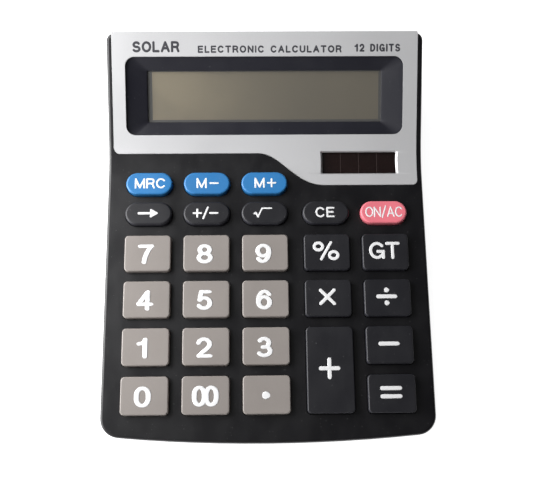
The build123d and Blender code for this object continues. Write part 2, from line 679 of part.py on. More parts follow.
def controller_chip():
    """The blob of black resin over the bonded chip, on the board's underside."""
    x, y = CHIP_PLACE
    return on_deck(Pos(x, y, BOARD_BOTTOM - CHIP_HEIGHT / 2) * Cone(*CHIP_RADII, CHIP_HEIGHT))


def capacitors():
    """Two electrolytic capacitors standing down from the board."""
    low = BOARD_BOTTOM - CAPACITOR_HEIGHT
    cans = [upright(x, CAPACITOR_Y, low, BOARD_BOTTOM, CAPACITOR_RADIUS) for x in CAPACITOR_X]
    return Compound(children=[on_deck(can) for can in cans])


def board_screws():
    """The ten board screws and the four that hold the display's holder, all alike."""
    screw = small_screw()
    screws = [DECK * Pos(x, y, BOARD_BOTTOM) * screw for x, y in BOARD_SCREWS]
    low = HOLDER_TOP - HOLDER_THICKNESS
    for x, s in both_sides([(HOLDER_EAR_X, s) for s in HOLDER_EAR_S]):
        screws.append(DECK * HEAD * Pos(x, s, low) * screw)
    return Compound(children=screws)


def cross_drive(top):
    """A cross-shaped recess cut up into a screw head from below."""
    arm = block((-DRIVE_REACH, -DRIVE_WIDTH / 2, top), (DRIVE_REACH, DRIVE_WIDTH / 2, top + DRIVE_DEPTH))
    return arm + Rot(0, 0, 90) * arm


def small_screw():
    """A small screw, head down, with its head's upper face at zero."""
    shank = upright(0, 0, 0, SMALL_SCREW_LENGTH - SMALL_SCREW_SPARE, SMALL_SCREW_RADIUS - STACK_GAP)
    head = upright(0, 0, -SMALL_HEAD_HEIGHT, 0, SMALL_HEAD_RADIUS)
    return shank + head - cross_drive(-SMALL_HEAD_HEIGHT)


def case_screws():
    """The six screws that close the case from below."""
    shank = upright(0, 0, 0, SCREW_LENGTH, SCREW_RADIUS - STACK_GAP)
    head = upright(0, 0, -SCREW_HEAD_HEIGHT, 0, SCREW_HEAD_RADIUS)
    screw = shank + head - cross_drive(-SCREW_HEAD_HEIGHT)
    screws = []
    for x, y in both_sides(CASE_SCREWS_DECK):
        seat = row_z(y, BOSS_END) - POST_GAP - POST_WEB
        screws.append(Pos(x, row_y(y, 0), seat) * screw)
    return Compound(children=screws)


# ---------------------------------------------------------------- battery and feet
def cell_y():
    return (BAY_FRONT_Y + BAY_REAR_Y) / 2


def cell_z():
    return BASE_Z + DOOR_THICKNESS + CELL_CLEARANCE + CELL_RADIUS


def plus_contact_x():
    """Inner face of the flat contact that meets the battery's nub."""
    return BAY_HALF_LENGTH - STACK_GAP - CONTACT_THICKNESS


def battery():
    nub_end = plus_contact_x() - STACK_GAP
    body_end = nub_end - CELL_NUB
    along_x = Rot(0, 90, 0)
    body = along_x * Cylinder(CELL_RADIUS, CELL_LENGTH)
    body = chamfer(body.edges(), CELL_EDGE)
    nub = along_x * Cylinder(CELL_NUB_RADIUS, CELL_NUB + 1)
    body = Pos(body_end - CELL_LENGTH / 2, 0, 0) * body
    return Pos(0, cell_y(), cell_z()) * (body + Pos(nub_end - (CELL_NUB + 1) / 2, 0, 0) * nub)


def contact_plate(low, high):
    """A sprung-brass strip with a solder tab through the bay's ceiling."""
    half = CONTACT_WIDTH / 2
    top = BAY_TOP_Z - CONTACT_THICKNESS
    plate = block((low, cell_y() - half, cell_z() - half), (high, cell_y() + half, top))
    tab = block((low, cell_y() - TAB_WIDTH / 2, BAY_TOP_Z - 1), (high, cell_y() + TAB_WIDTH / 2, TAB_TOP_Z))
    return plate + tab


def battery_plus_contact():
    return contact_plate(plus_contact_x(), plus_contact_x() + CONTACT_THICKNESS)


def battery_minus_contact():
    """The plate and the coil spring that presses on the battery's flat end."""
    wall = -BAY_HALF_LENGTH + STACK_GAP
    plate = contact_plate(wall, wall + CONTACT_THICKNESS)
    cell_end = plus_contact_x() - STACK_GAP - CELL_NUB - CELL_LENGTH
    start = wall + CONTACT_THICKNESS
    height = cell_end - start - 2 * SPRING_WIRE_RADIUS - STACK_GAP
    path = Helix(pitch=height / SPRING_TURNS, height=height, radius=SPRING_RADIUS)
    coil = sweep((path ^ 0) * Circle(SPRING_WIRE_RADIUS), path=path, is_frenet=True)
    coil = Pos(start + SPRING_WIRE_RADIUS * 0.8, cell_y(), cell_z()) * Rot(0, 90, 0) * coil
    return plate + coil


def battery_leads():
    """The battery's two wires, forward over the bay and up to the board's underside."""
    pad_y = row_y(BATTERY_PAD_Y, BOARD_BOTTOM)
    pad_z = row_z(BATTERY_PAD_Y, BOARD_BOTTOM - STACK_GAP)
    low = pad_z - BATTERY_LEAD_RISE
    start_y = cell_y() - TAB_WIDTH / 2 - STACK_GAP
    start_z = TAB_TOP_Z - 1
    leads = []
    for side in (-1, 1):
        x = side * (BAY_HALF_LENGTH - STACK_GAP - CONTACT_THICKNESS / 2)
        points = ((x, start_y, start_z), (x, start_y - SOLAR_LEAD_SPAN, start_z),
                  (x, pad_y + BATTERY_LEAD_FOOT, low), (x, pad_y, low), (x, pad_y, pad_z))
        leads.append(lead(points, BATTERY_LEAD_BEND))
    return Compound(children=leads)


def foot_places():
    return [(side * FOOT_X, y) for side in (-1, 1) for y in (FOOT_FRONT_Y, FOOT_REAR_Y)]


def rubber_foot(x, y):
    foot = upright(x, y, 0, BASE_Z + FOOT_RECESS, FOOT_RADIUS)
    return fillet(foot.edges().group_by(Axis.Z)[0], FOOT_EDGE)


# ---------------------------------------------------------------- write the parts
def write(name, shape):
    export_step(shape, os.path.join("parts", name + ".step"))


os.makedirs("parts", exist_ok=True)

write("upper_case", upper_case())
write("lower_case", lower_case())
write("battery_door", battery_door())
write("fascia_plate", fascia_plate())
write("display_bezel", display_bezel())
write("display_lens", display_lens())
write("lcd_cell", lcd_cell())
write("lcd_reflector", lcd_reflector())
write("lcd_holder", lcd_holder())
write("lcd_ribbon", lcd_ribbon())
write("solar_window", solar_window())
write("solar_panel", solar_panel())
write("solar_leads", solar_leads())
write("key_mat", key_mat())
write("keypad_board", keypad_board())
write("controller_chip", controller_chip())
write("capacitors", capacitors())
write("board_screws", board_screws())
write("case_screws", case_screws())
write("battery", battery())
write("battery_plus_contact", battery_plus_contact())
write("battery_minus_contact", battery_minus_contact())
write("battery_leads", battery_leads())

caps = {kind: keycap(kind) for kind in ("square", "tall", "oval")}
for name, column, row, kind in KEYS:
    write(name, on_deck(key_position(column, row) * caps[kind]))

for x, y in foot_places():
    side = "left" if x < 0 else "right"
    end = "front" if y < 0 else "rear"
    write(f"foot_{end}_{side}", rubber_foot(x, y))
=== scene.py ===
import json
import math

import bpy
from mathutils import Matrix, Vector

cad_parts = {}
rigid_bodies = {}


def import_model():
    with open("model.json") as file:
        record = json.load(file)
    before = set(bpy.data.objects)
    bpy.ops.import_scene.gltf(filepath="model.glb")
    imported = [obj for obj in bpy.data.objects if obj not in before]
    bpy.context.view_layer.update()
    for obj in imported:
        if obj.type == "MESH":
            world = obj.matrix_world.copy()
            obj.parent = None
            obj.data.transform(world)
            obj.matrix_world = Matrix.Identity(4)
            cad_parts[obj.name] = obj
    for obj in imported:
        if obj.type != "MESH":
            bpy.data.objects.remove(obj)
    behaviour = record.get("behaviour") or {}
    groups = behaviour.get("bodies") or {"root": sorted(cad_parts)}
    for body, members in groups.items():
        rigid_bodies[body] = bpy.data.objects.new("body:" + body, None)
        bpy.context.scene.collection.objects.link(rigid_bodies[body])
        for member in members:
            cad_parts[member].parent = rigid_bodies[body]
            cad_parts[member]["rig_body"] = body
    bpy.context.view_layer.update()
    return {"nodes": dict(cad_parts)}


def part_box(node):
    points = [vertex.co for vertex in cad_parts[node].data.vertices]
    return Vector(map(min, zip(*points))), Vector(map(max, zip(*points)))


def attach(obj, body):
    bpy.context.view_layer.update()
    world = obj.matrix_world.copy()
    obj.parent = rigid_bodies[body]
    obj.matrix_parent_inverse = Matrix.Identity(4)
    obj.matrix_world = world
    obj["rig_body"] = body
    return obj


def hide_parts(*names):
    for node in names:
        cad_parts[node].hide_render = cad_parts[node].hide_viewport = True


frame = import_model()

bl_info = {
    "name": "Desk calculator",
    "version": (1, 0, 0),
    "blender": (4, 5, 0),
    "location": "View3D > Sidebar > Calculator",
    "description": "Finishes, prints and lights a desk calculator around its fixed CAD frame",
    "category": "Object",
}

MM = 0.001
RIGHT = (1, 0, 0)

# Nodes by what they are made of
GREY_KEYS = [f"key_{name}" for name in ("0", "00", "point", *"123456789")]
BLACK_KEYS = [
    f"key_{name}" for name in (
        "plus", "equals", "minus", "multiply", "divide", "percent", "grand_total",
        "backspace", "sign", "root", "clear_entry")
]
BLUE_KEYS = ["key_memory_recall", "key_memory_minus", "key_memory_plus"]
PINK_KEYS = ["key_on_clear"]
FEET = ["foot_front_left", "foot_front_right", "foot_rear_left", "foot_rear_right"]

# Mesh work
MERGE_DISTANCE = 1e-6
SMOOTH_ANGLE = math.radians(32)
FACE_TOLERANCE = 2e-5
BEVEL_STEPS = 2
PLATE_BEVEL = 0.12 * MM
SURROUND_BEVEL = 0.25 * MM

# Strokes of the print: degrees between two points of an arc, how far along its half circle
# each point of a stroke's end lies, and how much higher each stroke stands than the last
ARC_STEP = 15.0
CAP_STEPS = (0.38, 0.7, 0.92, 0.995)
STROKE_STEPS = 2
LAYER_STEP = 0.06

# Patterns: where the painted edge light begins and ends, as the cosine of a face's turn, and the display's
# field, painted lighter on the left
EDGE_LIGHT_START, EDGE_LIGHT_END = 0.35, 0.97
# Painted highlight: the case's turned edges and sides are painted this many times lighter
CASE_EDGE_HIGHLIGHT = 3.6
DUST_COLOUR = (0.5, 0.5, 0.5)
# The screen field sits off-centre in its dark border, which is a printed mask and painted shade of the
# window's lip and its shadow
SCREEN_OFFSET = (0.5 * MM, 0.4 * MM)
# Painted light on the screen: this many times lighter at the left, this many times darker at the right,
# changing over this share of its width
SCREEN_LIT_LEFT, SCREEN_SHADED_RIGHT = 2.35, 0.90
SCREEN_LIGHT_FADE = 0.70
EDGE_SOFTNESS = 0.12 * MM
CELL_MARGIN = 0.5 * MM
SHOULDER = (15 * MM, 2.2 * MM)
BARE_END = 1.6 * MM

# Stage
FLOOR_SIZE = 60
KEY_LIGHT_PLACE, KEY_LIGHT_SIZE = (-0.31, 0.08, 0.27), (0.32, 0.26)
KEY_LIGHT_AIM = (0, 0, 0.02)
SIDE_LIGHT_PLACE, SIDE_LIGHT_SIZE = (-0.32, -0.04, 0.10), (0.30, 0.10)
SIDE_LIGHT_AIM = (-0.07, 0, 0.02)
DIM_FROM, BRIGHT_FROM = 0.12, -0.45
CAMERA_PLACE = (-7.54 * MM, -128.386 * MM, 396.794 * MM)
CAMERA_TURN = (18.4791, -0.8963, -0.7191)
CAMERA_LENS = 57.41
SENSOR_WIDTH = 36


# ---------------------------------------------------------------- sizes and colours
def colour(name, description, default):
    return bpy.props.FloatVectorProperty(
        name=name, description=description, subtype="COLOR", size=3, min=0, max=1, default=default)


def length(name, description, default):
    return bpy.props.FloatProperty(
        name=name, description=description, subtype="DISTANCE", unit="LENGTH", min=0,
        precision=5, default=default)


def factor(name, description, default, highest=1.0):
    return bpy.props.FloatProperty(
        name=name, description=description, subtype="FACTOR", min=0, max=highest, default=default)


class CalculatorPlastics(bpy.types.PropertyGroup):
    case: colour("Case", "Satin black of the two case halves", (0.0040, 0.0038, 0.0050))
    fascia: colour("Fascia", "Silver lacquer of the plate round the display", (0.60, 0.60, 0.61))
    bezel: colour("Bezel", "Blue-black of the sloping display surround", (0.013, 0.013, 0.019))
    grey_key: colour("Grey keys", "Number keys", (0.262, 0.236, 0.220))
    black_key: colour("Black keys", "Function keys", (0.0115, 0.0115, 0.0145))
    blue_key: colour("Blue keys", "Memory keys", (0.026, 0.172, 0.420))
    pink_key: colour("Pink key", "On and clear key", (0.79, 0.190, 0.235))
    foot: colour("Feet", "Rubber feet", (0.020, 0.020, 0.021))
    grain: length("Grain", "Size of the moulded grain", 0.16 * MM)
    gloss: factor("Roughness", "Middle roughness of the satin plastic", 0.35)


class CalculatorPrint(bpy.types.PropertyGroup):
    white: colour("Key print", "White ink on the keys", (0.86, 0.86, 0.87))
    dark: colour("Fascia print", "Dark ink on the silver plate", (0.040, 0.040, 0.048))
    thickness: length("Ink height", "How far the ink stands above the plastic", 0.03 * MM)
    digit_height: length("Digit height", "Height of the numbers", 9.3 * MM)
    digit_stroke: length("Digit stroke", "Level stroke width of the numbers", 1.72 * MM)
    digit_stretch: factor("Digit stretch", "How much wider upright strokes are than level ones", 1.35, 2.0)
    sign_stroke: length("Sign stroke", "Stroke width of the signs on the large keys", 1.9 * MM)
    small_height: length("Small letters", "Height of the letters on the oval keys", 5.1 * MM)
    small_stroke: length("Small stroke", "Stroke width on the oval keys", 0.9 * MM)


class CalculatorDisplay(bpy.types.PropertyGroup):
    screen_width: length("Screen width", "Width of the grey-brown field inside its dark border", 108.8 * MM)
    screen_depth: length("Screen depth", "Depth of the grey-brown field inside its dark border", 22.8 * MM)
    # The dark border is a printed mask and painted shade of the window's lip and its shadow
    border: colour("Screen border", "Dark border of the polariser", (0.020, 0.019, 0.020))
    screen: colour("Screen", "Polariser over the liquid crystal", (0.079, 0.064, 0.038))
    solar: colour("Solar cells", "Brown film of the solar cells", (0.0105, 0.0042, 0.0035))
    divider: colour("Cell divider", "Thin line between two solar cells", (0.060, 0.045, 0.042))
    divider_width: length("Divider width", "Width of the line between two cells", 0.32 * MM)
    cells: bpy.props.IntProperty(name="Cells", description="Solar cells in a row", min=1, default=4)


class CalculatorStage(bpy.types.PropertyGroup):
    floor: colour("Floor", "Pale table", (0.86, 0.86, 0.86))
    glow: factor("Table glow", "Light of the lit table under the object", 0.9, 5.0)
    key_light: factor("Key light", "Power of the large light, in watts", 2.05, 500.0)
    side_light: factor("Side light", "Power of the low light on the left, in watts", 0.8, 500.0)
    sky_low: factor("Dim sky", "Brightness of the studio on the right", 0.05, 5.0)
    sky_high: factor("Bright sky", "Brightness of the studio on the left", 0.9, 5.0)


# ---------------------------------------------------------------- pieces
def select_only(piece):
    bpy.ops.object.select_all(action="DESELECT")
    piece.select_set(True)
    bpy.context.view_layer.objects.active = piece


def smooth_copy(node, bevel=0.0):
    """A merged, smooth-shaded copy of a CAD node that stands for it on the same body.
    A bevel breaks its sharp edges."""
    source = frame["nodes"][node]
    piece = bpy.data.objects.new(node + "_finished", source.data.copy())
    bpy.context.scene.collection.objects.link(piece)
    select_only(piece)
    bpy.ops.object.mode_set(mode="EDIT")
    bpy.ops.mesh.select_all(action="SELECT")
    bpy.ops.mesh.remove_doubles(threshold=MERGE_DISTANCE)
    bpy.ops.object.mode_set(mode="OBJECT")
    if piece.data.has_custom_normals:
        bpy.ops.mesh.customdata_custom_splitnormals_clear()
    if bevel:
        bpy.ops.object.modifier_add(type="BEVEL")
        edge = piece.modifiers[-1]
        edge.width = bevel
        edge.segments = BEVEL_STEPS
        edge.limit_method = "ANGLE"
        edge.angle_limit = SMOOTH_ANGLE
        bpy.ops.object.modifier_apply(modifier=edge.name)
    bpy.ops.object.shade_smooth_by_angle(angle=SMOOTH_ANGLE)
    bpy.ops.object.modifier_add(type="WEIGHTED_NORMAL")
    piece.modifiers[-1].keep_sharp = True
    bpy.ops.object.modifier_apply(modifier=piece.modifiers[-1].name)
    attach(piece, source["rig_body"])
    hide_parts(node)
    return piece


def dress(piece, material):
    """One material all over a piece."""
    if not piece.material_slots:
        piece.data.materials.append(material)
    for slot in piece.material_slots:
        slot.material = material


def dress_nodes(nodes, material):
    """One material on some CAD nodes, left as they are."""
    for node in nodes:
        dress(frame["nodes"][node], material)


def finish_nodes(nodes, material, bevel=0.0):
    """Smooth copies of some CAD nodes, all in one material."""
    for node in nodes:
        piece = smooth_copy(node, bevel)
        dress(piece, material)


def facing(node):
    """The frame of a node's top face: x to the right, z out of the face, at its centre."""
    mesh = frame["nodes"][node].data
    upward = [face for face in mesh.polygons if face.normal.z > 0.5]
    out = max(upward, key=lambda face: face.area).normal.normalized()
    right = Vector((1, 0, 0))
    up = out.cross(right).normalized()
    level = max(out.dot(vertex.co) for vertex in mesh.vertices)
    rim = [v.co for v in mesh.vertices if out.dot(v.co) > level - FACE_TOLERANCE]
    centre = out * level
    for axis in (right, up):
        reach = [axis.dot(point) for point in rim]
        centre += axis * (min(reach) + max(reach)) / 2
    turn = Matrix((right, up, out)).transposed().to_4x4()
    return Matrix.Translation(centre) @ turn


# ---------------------------------------------------------------- lettering
def arc(centre, radii, start, end):
    """Points along an elliptical arc, degrees anticlockwise from the right."""
    count = max(2, round(abs(end - start) / ARC_STEP))
    points = []
    for index in range(count + 1):
        angle = math.radians(start + (end - start) * index / count)
        points.append((centre[0] + radii[0] * math.cos(angle), centre[1] + radii[1] * math.sin(angle)))
    return points


def ring(centre, radii):
    return arc(centre, radii, 0, 360)


# Each glyph: its width, then the centrelines of its strokes in a box one unit high.
GLYPHS = {
    "0": (0.77, [
        arc((0.385, 0.60), (0.385, 0.40), 0, 180) + arc((0.385, 0.40), (0.385, 0.40), 180, 360)
        + [(0.77, 0.60)]]),
    "1": (0.50, [[(0.42, 1), (0.42, 0)], [(0.42, 0.99), (0.33, 0.84), (0.20, 0.765), (0.02, 0.75)]]),
    "2": (0.75, [
        arc((0.375, 0.70), (0.365, 0.30), 165, -22) + [(0.56, 0.42), (0.26, 0.21), (0.03, 0)],
        [(0.03, 0), (0.75, 0)]]),
    "3": (0.75, [
        arc((0.355, 0.745), (0.315, 0.255), 150, -90),
        arc((0.365, 0.26), (0.385, 0.26), 75, -150), [(0.27, 0.49), (0.38, 0.49)]]),
    "4": (0.80, [[(0.58, 1), (0.01, 0.29)], [(0.01, 0.27), (0.80, 0.27)], [(0.58, 1), (0.58, 0)]]),
    "5": (0.74, [
        [(0.16, 1), (0.66, 1)], [(0.16, 1), (0.07, 0.50)],
        [(0.07, 0.50)] + arc((0.355, 0.315), (0.385, 0.315), 112, -150)]),
    "6": (0.77, [
        ring((0.395, 0.33), (0.375, 0.33)),
        arc((0.43, 0.40), (0.42, 0.60), 45, 185)]),
    "7": (0.77, [
        [(0.0, 1), (0.75, 1)], [(0.75, 1), (0.56, 0.76), (0.42, 0.50), (0.33, 0.26), (0.28, 0)]]),
    "8": (0.77, [ring((0.385, 0.755), (0.325, 0.245)), ring((0.385, 0.26), (0.385, 0.26))]),
    "9": (0.77, [
        ring((0.375, 0.67), (0.375, 0.33)),
        arc((0.34, 0.60), (0.42, 0.60), 5, -135)]),
    "A": (0.86, [[(0, 0), (0.43, 1)], [(0.43, 1), (0.86, 0)], [(0.14, 0.33), (0.72, 0.33)]]),
    "C": (0.86, [arc((0.45, 0.5), (0.45, 0.5), 42, 318)]),
    "D": (0.80, [
        [(0, 0), (0, 1)],
        [(0, 1), (0.32, 1)] + arc((0.32, 0.5), (0.48, 0.5), 75, -75) + [(0.32, 0), (0, 0)]]),
    "E": (0.70, [[(0.70, 1), (0, 1)], [(0, 1), (0, 0)], [(0, 0), (0.70, 0)], [(0, 0.52), (0.62, 0.52)]]),
    "G": (0.88, [
        arc((0.45, 0.5), (0.45, 0.5), 42, 325),
        [(0.50, 0.43), (0.88, 0.43)], [(0.88, 0.43), (0.88, 0.0)]]),
    "I": (0.0, [[(0, 0), (0, 1)]]),
    "L": (0.62, [[(0, 1), (0, 0)], [(0, 0), (0.62, 0)]]),
    "M": (0.96, [
        [(0, 0), (0, 1)], [(0, 1), (0.48, 0.02)], [(0.48, 0.02), (0.96, 1)], [(0.96, 1), (0.96, 0)]]),
    "N": (0.80, [[(0, 0), (0, 1)], [(0, 1), (0.80, 0)], [(0.80, 0), (0.80, 1)]]),
    "O": (0.92, [ring((0.46, 0.5), (0.46, 0.5))]),
    "R": (0.78, [
        [(0, 0), (0, 1)],
        [(0, 1), (0.48, 1)] + arc((0.48, 0.74), (0.27, 0.26), 60, -60) + [(0.48, 0.48), (0, 0.48)],
        [(0.46, 0.48), (0.64, 0.38), (0.70, 0.18), (0.78, 0)]]),
    "S": (0.76, [arc((0.38, 0.745), (0.34, 0.255), 28, 255) + arc((0.38, 0.25), (0.38, 0.25), 75, -152)]),
    "T": (0.80, [[(0, 1), (0.80, 1)], [(0.40, 1), (0.40, 0)]]),
    "U": (0.78, [[(0, 1)] + arc((0.39, 0.36), (0.39, 0.36), 180, 360) + [(0.78, 1)]]),
    "/": (0.50, [[(0, -0.12), (0.50, 1.12)]]),
    "+": (0.84, [[(0, 0.48), (0.84, 0.48)], [(0.42, 0.06), (0.42, 0.90)]]),
    "-": (0.84, [[(0, 0.48), (0.84, 0.48)]]),
    " ": (0.40, []),
}


def lettering(text, height, stroke, widen=1.0, gap=0.5, centre=(0.0, 0.0)):
    """The strokes of a word, centred, as (stroke width, centreline) pairs in metres.
    The gap is the clear space between two letters in stroke widths."""
    scale = height - stroke
    advance = 0.0
    marks = []
    for character in text:
        width, strokes = GLYPHS[character]
        for points in strokes:
            marks.append([(advance + x * scale * widen, (y - 0.5) * scale) for x, y in points])
        advance += width * scale * widen + stroke * (1 + gap)
    middle = (advance - stroke * (1 + gap)) / 2
    return [
        (stroke, [(x - middle + centre[0], y + centre[1]) for x, y in points]) for points in marks
    ]


def bar(length, stroke, centre=(0.0, 0.0), turn=0.0):
    """One straight stroke of an overall length, turned about its centre in degrees."""
    reach = (length - stroke) / 2
    x, y = reach * math.cos(math.radians(turn)), reach * math.sin(math.radians(turn))
    return stroke, [(centre[0] - x, centre[1] - y), (centre[0] + x, centre[1] + y)]


def dot(diameter, centre=(0.0, 0.0)):
    return diameter, [centre, (centre[0] + MERGE_DISTANCE, centre[1])]


def with_round_ends(points, stroke):
    """Centreline points with their share of the stroke's width, closed by half circles."""
    body = [(Vector(point), 1.0) for point in points]
    for end, inner in ((0, 1), (-1, -2)):
        tip = Vector(points[end])
        away = (tip - Vector(points[inner])).normalized()
        cap = [(tip + away * stroke / 2 * step, math.sqrt(1 - step**2)) for step in CAP_STEPS]
        body = body + cap if end else cap[::-1] + body
    return body


def ink(name, marks, place, height, material, body, stretch=1.0):
    """Flat inked strokes laid on a face, as one piece that rides with a body.
    A stretch widens the strokes and their spacing sideways."""
    bpy.ops.object.select_all(action="DESELECT")
    bpy.ops.curve.primitive_bezier_curve_add()
    strokes = []
    first = bpy.context.object
    for index, (stroke, points) in enumerate(marks):
        if index:
            bpy.ops.curve.primitive_bezier_curve_add()
        line = bpy.context.object
        line.data.splines.clear()
        line.data.bevel_depth = stroke / 2
        line.data.bevel_resolution = STROKE_STEPS
        line.data.use_fill_caps = True
        line.data.twist_mode = "Z_UP"
        closed = (Vector(points[0]) - Vector(points[-1])).length < MERGE_DISTANCE / 2
        outline = [(Vector(p), 1.0) for p in points[:-1]] if closed else with_round_ends(points, stroke)
        spline = line.data.splines.new("POLY")
        spline.points.add(len(outline) - 1)
        for point, (place_on_face, share) in zip(spline.points, outline):
            point.co = (*place_on_face, 0, 1)
            point.radius = share
        spline.use_cyclic_u = closed
        line.scale.x = stretch
        line.scale.z = height * (1 + LAYER_STEP * index) / (stroke / 2)
        strokes.append(line)
    bpy.ops.object.select_all(action="DESELECT")
    for line in strokes:
        line.select_set(True)
    bpy.context.view_layer.objects.active = first
    bpy.ops.object.convert(target="MESH")
    bpy.ops.object.transform_apply(location=True, rotation=True, scale=True)
    if len(strokes) > 1:
        bpy.ops.object.join()
    piece = bpy.context.object
    piece.name = name
    piece.matrix_world = place
    bpy.ops.object.transform_apply(location=True, rotation=True, scale=True)
    bpy.ops.object.shade_smooth()
    dress(piece, material)
    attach(piece, body)
    return piece


# ---------------------------------------------------------------- finishes
def add(material, kind):
    return material.node_tree.nodes.new("ShaderNode" + kind)


def join(material, source, target):
    material.node_tree.links.new(source, target)


def new_finish(name, roughness=0.5, **constants):
    """A material whose constants are set on the shader itself."""
    material = bpy.data.materials.new(name)
    material.use_nodes = True
    shader = shader_of(material)
    shader.inputs["Roughness"].default_value = roughness
    for socket, value in constants.items():
        shader.inputs[socket.replace("_", " ")].default_value = value
    return material


def shader_of(material):
    return material.node_tree.nodes["Principled BSDF"]


def places(material, stretch=(1, 1, 1)):
    """Object coordinates, stretched along each axis."""
    mapping = add(material, "Mapping")
    mapping.inputs["Scale"].default_value = stretch
    join(material, add(material, "TexCoord").outputs["Object"], mapping.inputs["Vector"])
    return mapping.outputs["Vector"]


def noise(material, size, detail=2.0, stretch=(1, 1, 1), rough=0.5):
    """Smooth random values whose blobs are about a given size in metres."""
    texture = add(material, "TexNoise")
    texture.inputs["Scale"].default_value = 1 / size
    texture.inputs["Detail"].default_value = detail
    texture.inputs["Roughness"].default_value = rough
    join(material, places(material, stretch), texture.inputs["Vector"])
    return texture.outputs[0]


def spread(material, source, low, high, start=0.3, end=0.7):
    """A source's values from start to end, mapped to low to high."""
    node = add(material, "MapRange")
    node.interpolation_type = "SMOOTHSTEP"
    for socket, value in (("From Min", start), ("From Max", end), ("To Min", low), ("To Max", high)):
        node.inputs[socket].default_value = value
    join(material, source, node.inputs["Value"])
    return node.outputs["Result"]


def mixed(material, share, first, second):
    """One colour at share 0 and another at share 1; either may be a colour or an output."""
    node = add(material, "Mix")
    node.data_type = "RGBA"
    join(material, share, node.inputs["Factor"])
    for socket, value in ((node.inputs[6], first), (node.inputs[7], second)):
        if isinstance(value, bpy.types.NodeSocket):
            join(material, value, socket)
        else:
            socket.default_value = (*value, 1)
    return node.outputs[2]


def relief(material, height, depth, strength=1.0, under=None):
    """Bump from a height pattern, with its depth in metres."""
    node = add(material, "Bump")
    node.inputs["Strength"].default_value = strength
    node.inputs["Distance"].default_value = depth
    join(material, height, node.inputs["Height"])
    if under:
        join(material, under, node.inputs["Normal"])
    return node.outputs["Normal"]


def shade(base, share):
    """A colour times a share, no channel over one."""
    return tuple(min(1.0, channel * share) for channel in base)


def slope(material, direction, start, end):
    """0 on faces square to a direction, rising to 1 on the edges that turn away from it."""
    node = add(material, "VectorMath")
    node.operation = "DOT_PRODUCT"
    node.inputs[1].default_value = direction
    join(material, add(material, "NewGeometry").outputs["Normal"], node.inputs[0])
    return spread(material, node.outputs["Value"], 1.0, 0.0, start, end)


def moulded(name, base, roughness, grain, depth=0.01 * MM, edge=None, direction=None, **constants):
    """Satin moulded plastic: fine grain, faint smudges, a little dust and, given an edge tone, painted
    light on the edges that turn away: a painted highlight where the tone is lighter.
    """
    material = new_finish(name, roughness, **constants)
    shader = shader_of(material)
    fine = noise(material, grain, 3.0)
    broad = noise(material, 35 * MM, 3.0)
    smudge = noise(material, 9 * MM, 4.0, (1, 0.6, 1))
    tone = mixed(material, spread(material, broad, 0.0, 1.0), shade(base, 0.93), shade(base, 1.07))
    tone = mixed(material, spread(material, fine, 0.0, 0.35), tone, shade(base, 1.25))
    if edge:
        # Painted light: edges turning away from the face take the edge tone, mostly a painted highlight
        painted_edge_light = slope(material, direction, EDGE_LIGHT_START, EDGE_LIGHT_END)
        tone = mixed(material, painted_edge_light, tone, edge)
    dust = spread(material, noise(material, 0.9 * MM, 1.0), 0.0, 0.10, 0.735, 0.80)
    tone = mixed(material, dust, tone, DUST_COLOUR)
    join(material, tone, shader.inputs["Base Color"])
    uneven = spread(material, smudge, roughness - 0.05, roughness + 0.06)
    join(material, uneven, shader.inputs["Roughness"])
    join(material, relief(material, fine, depth, 0.5), shader.inputs["Normal"])
    return material


def lacquer(name, base):
    """Silver lacquer: fine metal flake in a thin clear coat."""
    material = new_finish(name, 0.36, Metallic=0.25, Coat_Weight=0.15, Coat_Roughness=0.25)
    shader = shader_of(material)
    flake = noise(material, 0.09 * MM, 1.0)
    broad = noise(material, 40 * MM, 2.0)
    sparkle = spread(material, flake, 0.0, 1.0, 0.35, 0.65)
    tone = mixed(material, sparkle, shade(base, 0.93), shade(base, 1.06))
    tone = mixed(material, spread(material, broad, 0.0, 0.5), tone, shade(base, 1.04))
    join(material, tone, shader.inputs["Base Color"])
    join(material, spread(material, broad, 0.31, 0.40), shader.inputs["Roughness"])
    join(material, relief(material, flake, 0.004 * MM, 0.6), shader.inputs["Normal"])
    return material


def inked(name, base):
    """Screen-printed ink, slightly thin in places."""
    material = new_finish(name, 0.42)
    shader = shader_of(material)
    thin = noise(material, 0.35 * MM, 3.0)
    tone = mixed(material, spread(material, thin, 0.0, 1.0, 0.25, 0.7), shade(base, 0.94), base)
    join(material, tone, shader.inputs["Base Color"])
    join(material, spread(material, thin, 0.36, 0.5), shader.inputs["Roughness"])
    join(material, relief(material, thin, 0.006 * MM, 0.4), shader.inputs["Normal"])
    return material


def clear_sheet(name, haze_colour, share):
    """A clear, slightly hazed sheet that mostly shows its reflections."""
    material = new_finish(name, 0.16, Alpha=share, IOR=1.49)
    shader = shader_of(material)
    shader.inputs["Base Color"].default_value = (*haze_colour, 1)
    haze = noise(material, 14 * MM, 3.0)
    join(material, spread(material, haze, 0.12, 0.20), shader.inputs["Roughness"])
    scuff = noise(material, 0.5 * MM, 2.0, (1, 6, 1))
    join(material, relief(material, scuff, 0.002 * MM, 0.25), shader.inputs["Normal"])
    return material


def plain(name, base, roughness, size, depth, contrast=0.12, **constants):
    """One colour with a surface texture of a given size and depth."""
    material = new_finish(name, roughness, **constants)
    shader = shader_of(material)
    fine = noise(material, size, 3.0)
    speckle = spread(material, fine, 0.0, 1.0)
    tone = mixed(material, speckle, shade(base, 1 - contrast), shade(base, 1 + contrast))
    join(material, tone, shader.inputs["Base Color"])
    join(material, spread(material, fine, roughness - 0.05, roughness + 0.07), shader.inputs["Roughness"])
    join(material, relief(material, fine, depth, 0.5), shader.inputs["Normal"])
    return material


